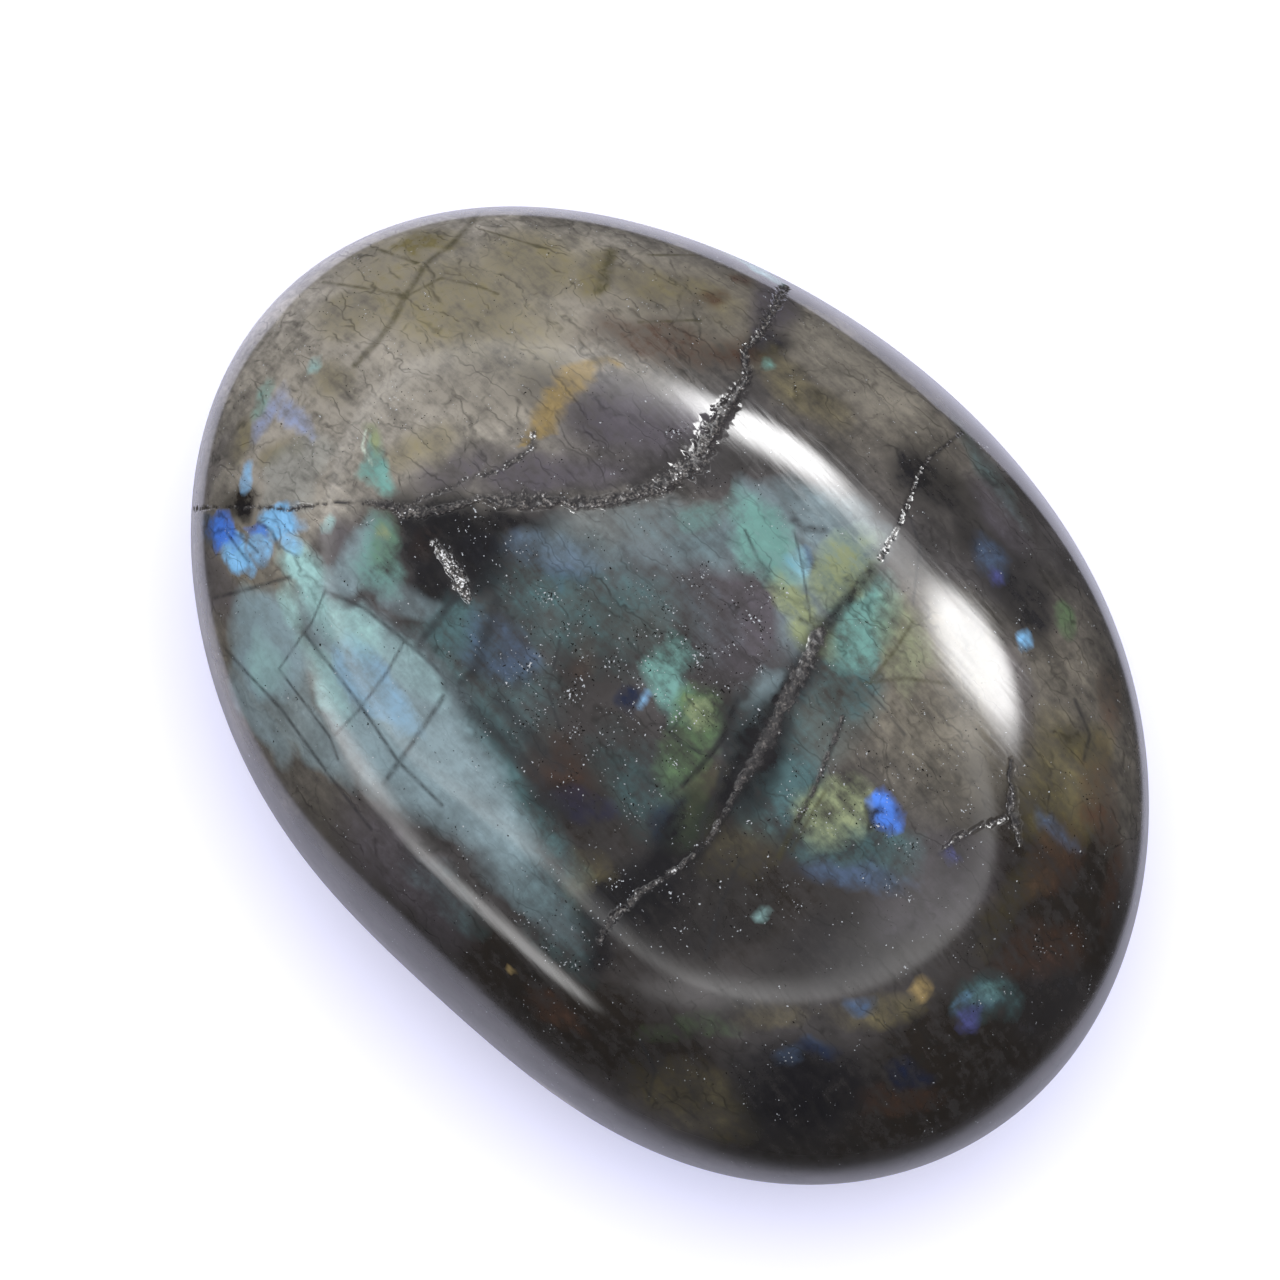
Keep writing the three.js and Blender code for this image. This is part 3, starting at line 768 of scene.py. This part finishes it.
class Skin:
    """The stone's skin, for finding what the camera sees at a place of the photograph."""

    def __init__(self, mesh, middle):
        points = places(mesh) - middle
        faces = [tuple(polygon.vertices) for polygon in mesh.polygons]
        self.surface = BVHTree.FromPolygons([tuple(point) for point in points], faces)

    def seen(self, place):
        """The point and the normal there."""
        point, normal, _, _ = self.surface.ray_cast(CAMERA_PLACE, sight_line(place))
        return point, normal

    def line(self, path, step):
        """Points of the skin along a line given as the camera sees it, each with what goes with it."""
        found = []
        for pixel in resampled(path, step * PIXELS_PER_MM):
            point, _ = self.seen(pixel)
            if point:
                found.append((point, *pixel[2:]))
        return found


def ball_mesh(level):
    """A round ball of triangles. Each level more halves their edges."""
    ball = bmesh.new()
    bmesh.ops.create_icosphere(ball, subdivisions=level, radius=1.0)
    return ball


def refine(ball, tree, middle, points):
    """Halves the faces near the points, more than once, so that fine lines have enough to show on."""
    nearby = KDTree(len(points))
    for index, point in enumerate(points):
        nearby.insert(point, index)
    nearby.balance()
    for reach in FINE_REACHES:
        skin = shaped(ball, tree, **{"Fissure Share": 0.0})
        where = places(skin) - middle
        bpy.data.meshes.remove(skin)
        near = set()
        for part in ball.faces:
            centre = sum(where[vertex.index] for vertex in part.verts) / 3
            if nearby.find(Vector(centre))[2] < reach:
                near.update(part.edges)
        # In the ball's own order, because a set's order isn't the same in each run
        edges = [edge for edge in ball.edges if edge in near]
        bmesh.ops.subdivide_edges(ball, edges=edges, cuts=1, use_grid_fill=True)
        bmesh.ops.triangulate(ball, faces=[part for part in ball.faces if len(part.verts) > 3])
        for vertex in ball.verts:
            vertex.co.normalize()
        ball.verts.index_update()


def fissure_object(lines, shift):
    """Fissure lines as loose edges well above the stone, with their half width, depth and painted glint."""
    mesh = bpy.data.meshes.new("fissure lines")
    points, edges, half_widths, depths, glints = [], [], [], [], []
    for depth, glint, path in lines:
        for index, (point, half_width) in enumerate(path):
            above = point + shift
            points.append((above.x * MM, above.y * MM, LINES_ABOVE * MM))
            half_widths.append(half_width * MM)
            depths.append(depth * MM)
            glints.append(glint)
            if index:
                edges.append((len(points) - 2, len(points) - 1))
    mesh.from_pydata(points, edges, [])
    for name, values in (("half_width", half_widths), ("depth", depths), ("glint", glints)):
        store(mesh, name, values)
    lines_object = bpy.data.objects.new("fissure lines", mesh)
    bpy.context.scene.collection.objects.link(lines_object)
    return lines_object


def smooth_step(values):
    held = np.clip(values, 0, 1)
    return held * held * (3 - 2 * held)


def wandered(points):
    """The points moved about a little, so that the edge of a mark drawn on them wanders."""
    noise.seed_set(WANDER_SEED)
    moved = points.copy()
    for amount, width in WANDERS:
        moved += amount * np.array([noise.noise_vector(Vector(point / width)) for point in points])
    return moved


def mark_cover(points, centre, normal, along, half_length, half_width, softness):
    """How fully a mark covers each point: 1 well inside its ellipse, and 0 outside."""
    normal = np.array(normal)
    along = np.array(along)
    across = np.cross(normal, along)
    away = points - np.array(centre)
    spread = (away @ along / half_length) ** 2 + (away @ across / half_width) ** 2
    half_widths, more = MARK_REACH
    spread += (away @ normal / (half_widths * half_width + more)) ** 2
    return smooth_step((1 + softness - np.sqrt(spread)) / (2 * softness))


def seen_cover(points, skin, seen, half_length, half_width, angle, softness):
    """The cover of a mark that is placed and turned as the camera sees it."""
    centre, normal = skin.seen(seen)
    pointed = PICTURE_RIGHT * cos(radians(angle)) + PICTURE_UP * sin(radians(angle))
    along = pointed - TOWARDS_CAMERA * pointed.dot(normal) / TOWARDS_CAMERA.dot(normal)
    return mark_cover(points, centre, normal, along.normalized(), half_length, half_width, softness)


def unseen_cover(points, chance, stain_or_sheen):
    """The cover of a mark laid by chance on the sides and the underside."""
    centre = points[chance.choice(np.flatnonzero(points[:, 2] < UNSEEN_BELOW))]
    steepness = (centre[2] - UNDER_DOME) / TOP_DOME**2 / 4
    normal = Vector((centre[0] / LENGTH**2, centre[1] / WIDTH**2, steepness)).normalized()
    along = normal.orthogonal().normalized()
    along.rotate(Matrix.Rotation(chance.uniform(0, np.pi), 3, normal))
    half_length = chance.uniform(*UNSEEN_SIZES)
    half_width = half_length * chance.uniform(*UNSEEN_SHAPES)
    softness = STAINS_AND_SHEEN[stain_or_sheen][1]
    strength = chance.uniform(*UNSEEN_STRENGTHS)
    return strength * mark_cover(points, centre, normal, along, half_length, half_width, softness)


def store(mesh, name, values):
    mesh.attributes.new(name, "FLOAT", "POINT").data.foreach_set("value", values)


def paint_marks(mesh, skin):
    """Stores how much of each stain and flash of painted sheen, and of the dust with its painted glints,
    there is at each point.
    """
    points = wandered(places(mesh))
    cover = {name: np.zeros(len(points)) for name in STAINS_AND_SHEEN}
    for stain_or_sheen, marks in MARKS.items():
        softness = STAINS_AND_SHEEN[stain_or_sheen][1]
        for seen, half_length, half_width, angle, strength in marks:
            covered = seen_cover(points, skin, seen, half_length, half_width, angle, softness)
            cover[stain_or_sheen] = np.maximum(cover[stain_or_sheen], strength * covered)
    chance = np.random.default_rng(SEED)
    for _ in range(UNSEEN_MARKS):
        stain_or_sheen = UNSEEN_STAINS_AND_SHEEN[chance.integers(len(UNSEEN_STAINS_AND_SHEEN))]
        cover[stain_or_sheen] = np.maximum(cover[stain_or_sheen], unseen_cover(points, chance, stain_or_sheen))
    for name, values in cover.items():
        store(mesh, name, values)
    dust_and_glints = np.full(len(points), DUST_EVERYWHERE)
    for seen, half_length, half_width, angle, strength in DUST_AND_GLINTS:
        covered = seen_cover(points, skin, seen, half_length, half_width, angle, DUST_SOFTNESS)
        dust_and_glints = np.maximum(dust_and_glints, strength * covered)
    store(mesh, "dust_and_glints", dust_and_glints)


def paint_lines(mesh, hairlines):
    """Stores how full each kind of hairline, and the painted highlight line, is at each point."""
    points = places(mesh)
    finder = KDTree(len(points))
    for index, point in enumerate(points):
        finder.insert(point, index)
    finder.balance()
    for kind in LINES:
        clear = np.full(len(points), LINE_GONE)
        for half_width, path in hairlines[kind]:
            for place, *_ in path:
                for _, index, distance in finder.find_range(place, LINE_GONE * half_width):
                    clear[index] = min(clear[index], distance / half_width)
        store(mesh, kind, smooth_step((LINE_GONE - clear) / (LINE_GONE - LINE_FULL)))


def make_pebble(material):
    tree = pebble_tree()
    coarse = ball_mesh(COARSE_LEVEL)
    plain = shaped(coarse, tree, **{"Fissure Share": 0.0})
    coarse.free()
    points = places(plain)
    low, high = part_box("pebble")
    middle = (points.min(0) + points.max(0)) / 2 - (np.array(low) + np.array(high)) / (2 * MM)
    middle[2] = 0.0
    shift = Vector(middle)
    skin = Skin(plain, middle)

    # Where each fissure and hairline runs
    fissures = [(depth, glint, skin.line(path, FISSURE_STEP)) for depth, glint, path in FISSURES.values()]
    fine_places = [step[0] for _, _, path in fissures for step in path]
    hairlines = {}
    for kind, lines in HAIRLINES.items():
        hairlines[kind] = [(half_width, skin.line(path, HAIRLINE_STEP)) for half_width, path in lines]
        fine_places += [step[0] for _, path in hairlines[kind] for step in path]

    ball = ball_mesh(BALL_LEVEL)
    refine(ball, tree, middle, fine_places)
    lines_object = fissure_object(fissures, shift)
    settings = {"Fissure Lines": lines_object, "Fissure Share": 1.0, "Seed": SEED, "Material": material}
    mesh = shaped(ball, tree, **settings)
    ball.free()
    bpy.data.objects.remove(lines_object)
    mesh.transform(Matrix.Translation(-shift * MM))
    paint_marks(mesh, skin)
    paint_lines(mesh, hairlines)
    pebble = bpy.data.objects.new("polished_pebble", mesh)
    bpy.context.scene.collection.objects.link(pebble)
    return pebble


# Polished labradorite: a feldspar cut and tumbled to a wet gloss. The polish gives the eye sharp
# reflections over dark stone. The blue and green flashes with hazy edges, which the lamellae inside give it,
# are painted into the colour as a fixed sheen, and so are the white glints of the torn fissures beside
# their dark pits.
def polished_labradorite():
    material = bpy.data.materials.new("polished labradorite")
    material.use_nodes = True
    tree = material.node_tree
    tree.nodes.clear()
    place = add(tree, "ShaderNodeTexCoord").outputs["Object"]
    mm = add(tree, "ShaderNodeMapping", {"Vector": place, "Scale": (1 / MM, 1 / MM, 1 / MM)}).outputs[0]
    known = {}
    for name in [*STAINS_AND_SHEEN, *LINES, "dust_and_glints", "fissure_open", "fissure_halo", "fissure_glint"]:
        known[name] = add(tree, "ShaderNodeAttribute", attribute_name=name).outputs["Fac"]

    # Cloudiness, from the size of a stain down to that of a grain, and streaks
    patterns = {name: (mm, 1 / size, detail, rough) for name, (size, detail, rough) in CLOUDS.items()}
    for name, (heading, fineness, detail, rough) in STREAKS.items():
        stretch = {"Vector": mm, "Rotation": (0, 0, radians(heading)), "Scale": fineness}
        patterns[name] = (add(tree, "ShaderNodeMapping", stretch).outputs[0], 1.0, detail, rough)
    for name, (vector, scale, detail, rough) in patterns.items():
        settings = {"Vector": vector, "Scale": scale, "Detail": detail, "Roughness": rough}
        pattern = add(tree, "ShaderNodeTexNoise", settings)
        known[name] = pattern.outputs[0]
        known[name + " colour"] = pattern.outputs["Color"]

    # The stains and the flashes of painted sheen, laid one over the other, each patchy at its edge
    steps = [
        ("both", "ADD", "clouds", "grains"),
        ("all", "ADD", "both", "streaks"),
        ("uneven", "SUBTRACT", "all", 1.5),
    ]
    for name, (_, _, raggedness) in STAINS_AND_SHEEN.items():
        steps += [
            ("patchy", "MULTIPLY_ADD", "uneven", PATCHINESS * raggedness, 1.0),
            ("ragged " + name, "MULTIPLY", name, "patchy"),
        ]
    work_out(tree, known, steps)
    layers = [(known["clouds"], linear(GROUND_COLOURS[1]))]
    for name, (hex_colour, _, _) in STAINS_AND_SHEEN.items():
        edge = {"Value": known["ragged " + name], "From Min": STAIN_SHOWS, "From Max": 1.0}
        layers.append((add(tree, "ShaderNodeMapRange", edge).outputs["Result"], linear(hex_colour)))

    # Old healed cracks: nets of fine dark veins, and straight ones along the cleavage, fewer in clear panels
    lowest, highest = VEIN_STREAKS
    streaked = {"Value": known["streaks"], "From Min": lowest, "From Max": highest}
    known["here"] = add(tree, "ShaderNodeMapRange", streaked).outputs["Result"]
    steps = [
        ("share", "MULTIPLY_ADD", "grey panel", -CLEAR_OF_VEINS, 1.0),
        ("vein share", "MULTIPLY", "here", "share"),
    ]
    work_out(tree, known, steps)
    bend = {0: known["clouds colour"], 1: (VEIN_BEND, VEIN_BEND, VEIN_BEND), 2: mm}
    bent = add(tree, "ShaderNodeVectorMath", bend, operation="MULTIPLY_ADD").outputs[0]
    for heading, fineness, half_width, strength in VEINS:
        stretch = {"Vector": bent, "Rotation": (0, 0, radians(heading)), "Scale": fineness}
        cells = {"Vector": add(tree, "ShaderNodeMapping", stretch).outputs[0], "Scale": 1.0}
        veins = add(tree, "ShaderNodeTexVoronoi", cells, feature="DISTANCE_TO_EDGE").outputs["Distance"]
        edge = {"Value": veins, "From Min": half_width, "From Max": 0.0, "To Max": strength}
        known["thin"] = add(tree, "ShaderNodeMapRange", edge).outputs["Result"]
        work_out(tree, known, [("vein", "MULTIPLY", "thin", "vein share")])
        layers.append((known["vein"], linear(VEIN_COLOUR)))

    # Hairlines and the painted highlight line, fuller and fainter along their length
    faint, full = LINE_STRENGTH
    lowest, highest = LINE_GRAINS
    grainy = {"Value": known["grains"], "From Min": lowest, "From Max": highest}
    fullness = add(tree, "ShaderNodeMapRange", {**grainy, "To Min": faint, "To Max": full})
    known["fullness"] = fullness.outputs["Result"]
    for name, hex_colour in LINES.items():
        work_out(tree, known, [("line", "MULTIPLY", name, "fullness")])
        layers.append((known["line"], linear(hex_colour)))
    colour = laid_over(tree, linear(GROUND_COLOURS[0]), layers)

    # Cleavage streaks and grain lighten and darken what they cross, less so in the clear panels
    known["light"] = 1.0
    steps = []
    for name, strength in SHADES.items():
        steps += [
            ("shade", "MULTIPLY_ADD", name, strength, 1 - strength / 2),
            ("light", "MULTIPLY", "light", "shade"),
        ]
    steps += [
        ("change", "SUBTRACT", "light", 1.0),
        ("share", "MULTIPLY_ADD", "grey panel", -CLEAR_OF_SHADES, 1.0),
        ("light", "MULTIPLY_ADD", "change", "share", 1.0),
    ]
    work_out(tree, known, steps)
    shaded = add(tree, "ShaderNodeVectorMath", {0: colour, "Scale": known["light"]}, operation="SCALE")

    # Dust: ragged flecks a tenth of a millimetre wide that gather in clusters, white ones that are painted
    # glints and black ones
    steps = [
        ("gathered", "MULTIPLY_ADD", "clusters", FLECK_CLUSTERING, -FLECK_CLUSTERING / 2),
        ("gathered", "MULTIPLY_ADD", "dust_and_glints", FLECK_GAIN, "gathered"),
        ("white", "ADD", "specks", "gathered"),
        ("dark", "SUBTRACT", "gathered", "specks"),
    ]
    work_out(tree, known, steps)
    layers = []
    for name, (threshold, hex_colour) in FLECKS.items():
        edge = {"Value": known[name], "From Min": threshold, "From Max": threshold + FLECK_EDGE}
        layers.append((add(tree, "ShaderNodeMapRange", edge).outputs["Result"], linear(hex_colour)))

    # Inside the fissures: dark pits with grey and white glints that are painted highlights, and a bruised
    # margin
    crumbs = add(tree, "ShaderNodeTexVoronoi", {"Vector": mm, "Scale": 1 / CRUMB_SIZE}).outputs["Color"]
    known["crumb"] = add(tree, "ShaderNodeSeparateColor", {"Color": crumbs}).outputs[0]
    steps = [
        ("mixed", "MULTIPLY_ADD", "grains", CRUMB_GRAINS, -CRUMB_GRAINS / 2),
        ("mixed", "ADD", "mixed", "crumb"),
        ("share", "MULTIPLY_ADD", "fissure_glint", GLINT_GAIN, PLAIN_GLINT),
        ("bright", "MULTIPLY", "mixed", "share"),
    ]
    work_out(tree, known, steps)
    crushed_and_glints = add(tree, "ShaderNodeValToRGB", {"Fac": known["bright"]})
    ramp = crushed_and_glints.color_ramp
    ramp.elements.remove(ramp.elements[1])
    for index, (position, hex_colour) in enumerate(CRUSHED_AND_GLINTS):
        element = ramp.elements[0] if index == 0 else ramp.elements.new(position)
        element.position = position
        element.color = linear(hex_colour)
    margin = {"Value": known["fissure_halo"], "From Max": BRUISE_FULL, "To Max": BRUISE_STRENGTH}
    bruise = add(tree, "ShaderNodeMapRange", margin).outputs["Result"]
    layers += [(bruise, linear(BRUISE_COLOUR)), (known["fissure_open"], crushed_and_glints.outputs["Color"])]
    colour = laid_over(tree, shaded.outputs[0], layers)

    # The polish: mirror-like with fine wipe marks, duller from the girdle down, and rough where it is torn
    between, on_them = POLISH
    lowest, highest = WIPE_LEVELS
    wipes = {"Value": known["wipes"], "From Min": lowest, "From Max": highest}
    wiped = {**wipes, "To Min": between, "To Max": on_them}
    height = add(tree, "ShaderNodeSeparateXYZ", {"Vector": mm}).outputs["Z"]
    dulling = {"Value": height, "From Min": DULL_FROM, "From Max": DULL_FULLY, "To Max": DULLNESS}
    known["polish"] = add(tree, "ShaderNodeMapRange", wiped).outputs["Result"]
    known["dulled"] = add(tree, "ShaderNodeMapRange", dulling).outputs["Result"]
    work_out(tree, known, [("girdled", "MAXIMUM", "polish", "dulled")])
    torn = {"Factor": known["fissure_open"], "A": known["girdled"], "B": TORN_ROUGHNESS}
    rough = add(tree, "ShaderNodeMix", torn, data_type="FLOAT")
    relief = {"Height": known["wipes"], "Strength": WIPE_RELIEF, "Distance": WIPE_DEPTH * MM}
    bump = add(tree, "ShaderNodeBump", relief)
    gloss = {"Roughness": rough.outputs[0], "IOR": REFRACTION, "Normal": bump.outputs[0]}
    shader = add(tree, "ShaderNodeBsdfPrincipled", {"Base Color": colour, **gloss})
    add(tree, "ShaderNodeOutputMaterial", {"Surface": shader.outputs[0]})
    return material


# The studio. Places are how far to the picture's right, and how far beyond the stone. The floor is a small
# sheet that ends just outside the picture, so that the polish mirrors no more of it than a narrow band.
FLOOR_SIZE = (88, 92)
FLOOR_PLACE = (-4.5, 6.5)
FLOOR_COLOUR = "#e2e2f5"
FLOOR_GLOW_COLOUR = "#d8d8f8"
FLOOR_GLOW = 0.23
ROOM_COLOUR = "#505052"
BEYOND = Vector((-sin(turn), cos(turn), 0))


def white_floor():
    mesh = bpy.data.meshes.new("floor")
    to_right = PICTURE_RIGHT * FLOOR_SIZE[0] * MM / 2
    to_far = BEYOND * FLOOR_SIZE[1] * MM / 2
    corners = [to_right * right + to_far * far for right, far in ((-1, -1), (1, -1), (1, 1), (-1, 1))]
    mesh.from_pydata(corners, [], [(0, 1, 2, 3)])
    material = bpy.data.materials.new("matt white floor")
    material.use_nodes = True
    shader = material.node_tree.nodes["Principled BSDF"]
    shader.inputs["Base Color"].default_value = linear(FLOOR_COLOUR)
    shader.inputs["Emission Color"].default_value = linear(FLOOR_GLOW_COLOUR)
    shader.inputs["Emission Strength"].default_value = FLOOR_GLOW
    shader.inputs["Roughness"].default_value = 1.0
    shader.inputs["Specular IOR Level"].default_value = 0.0
    mesh.materials.append(material)
    floor = bpy.data.objects.new("floor", mesh)
    floor.location = (PICTURE_RIGHT * FLOOR_PLACE[0] + BEYOND * FLOOR_PLACE[1]) * MM
    bpy.context.scene.collection.objects.link(floor)


# Each lamp hangs this much above the last one, so that none hides another where they overlap
LAMP_STEP = 1.0
MIDDLE_ENDS = (0.39, 0.48)  # parts of a lamp's width from its centre, where it turns from middle to rim


def lamp(name, place, size, heading, radiance, soft=0.8, middle=1.0, height=500, lit="glossy"):
    """An oval lamp facing down, seen by either the gloss or the colour of what it lights.

    Its place is how far it is to the picture's right and beyond the stone. Its brightness fades over the
    soft part of its radius, and starts from the middle's share of the whole."""
    data = bpy.data.lights.new(name, "AREA")
    data.shape = "ELLIPSE"
    data.size, data.size_y = (length * MM for length in size)
    data.energy = radiance * np.pi * data.size * data.size_y * np.pi / 4
    data.use_nodes = True
    tree = data.node_tree
    across = add(tree, "ShaderNodeNewGeometry").outputs["Parametric"]
    away = add(tree, "ShaderNodeVectorMath", {0: across, 1: (0.5, 0.5, 0.0)}, operation="DISTANCE")
    away = away.outputs["Value"]
    soft_edge = {"Value": away, "From Min": 0.5, "From Max": 0.5 * (1 - soft)}
    fade = add(tree, "ShaderNodeMapRange", soft_edge, interpolation_type="SMOOTHSTEP")
    starts, ends = MIDDLE_ENDS
    dim_middle = {"Value": away, "From Min": starts, "From Max": ends, "To Min": middle, "To Max": 1.0}
    rise = add(tree, "ShaderNodeMapRange", dim_middle, interpolation_type="SMOOTHSTEP")
    both = {0: fade.outputs["Result"], 1: rise.outputs["Result"]}
    shape = add(tree, "ShaderNodeMath", both, operation="MULTIPLY")
    tree.links.new(shape.outputs[0], tree.nodes["Emission"].inputs["Strength"])
    light = bpy.data.objects.new(name, data)
    right, far = place
    own_height = height + len(bpy.data.lights) * LAMP_STEP
    light.location = (PICTURE_RIGHT * right + BEYOND * far + Vector((0, 0, own_height))) * MM
    light.rotation_euler = (0, 0, radians(AZIMUTH + heading))
    light.visible_glossy = lit == "glossy"
    light.visible_diffuse = lit == "diffuse"
    bpy.context.scene.collection.objects.link(light)


def studio_lights():
    lamp("sky", (200, 300), (4500, 4500), 0, 2.25, soft=0.1, height=1500, lit="diffuse")
    lamp("soft box", (-58, 100), (905, 905), 0, 2.0, soft=0.06, middle=0.06)
    lamp("soft box, right edge", (190, -150), (440, 190), 50, 1.1)
    lamp("soft box, near edge", (-140, -370), (560, 150), 24, 1.0)
    lamp("soft box, left edge", (-325, -150), (380, 150), 95, 0.5)
    lamp("window, far pane", (163, 494), (330, 165), -54, 22.0, soft=0.6)
    lamp("window, far haze", (60, 545), (240, 80), -5, 2.2)
    lamp("window, haze between", (300, 380), (340, 170), -35, 4.0)
    lamp("window, near pane", (440, 262), (290, 260), -67, 18.0, soft=0.45)
    lamp("low strip, left", (-740, -260), (480, 300), 82, 5.0)
    lamp("low strip, middle", (-870, -480), (560, 380), 66, 3.0)
    lamp("low strip, near", (-900, -790), (560, 420), 48, 5.5)
    world = bpy.data.worlds.new("studio")
    world.use_nodes = True
    world.node_tree.nodes["Background"].inputs["Color"].default_value = linear(ROOM_COLOUR)
    bpy.context.scene.world = world
    bpy.context.scene.view_settings.view_transform = "Standard"


make_camera()
stone = make_pebble(polished_labradorite())
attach(stone, "root")
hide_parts("pebble")
white_floor()
studio_lights()
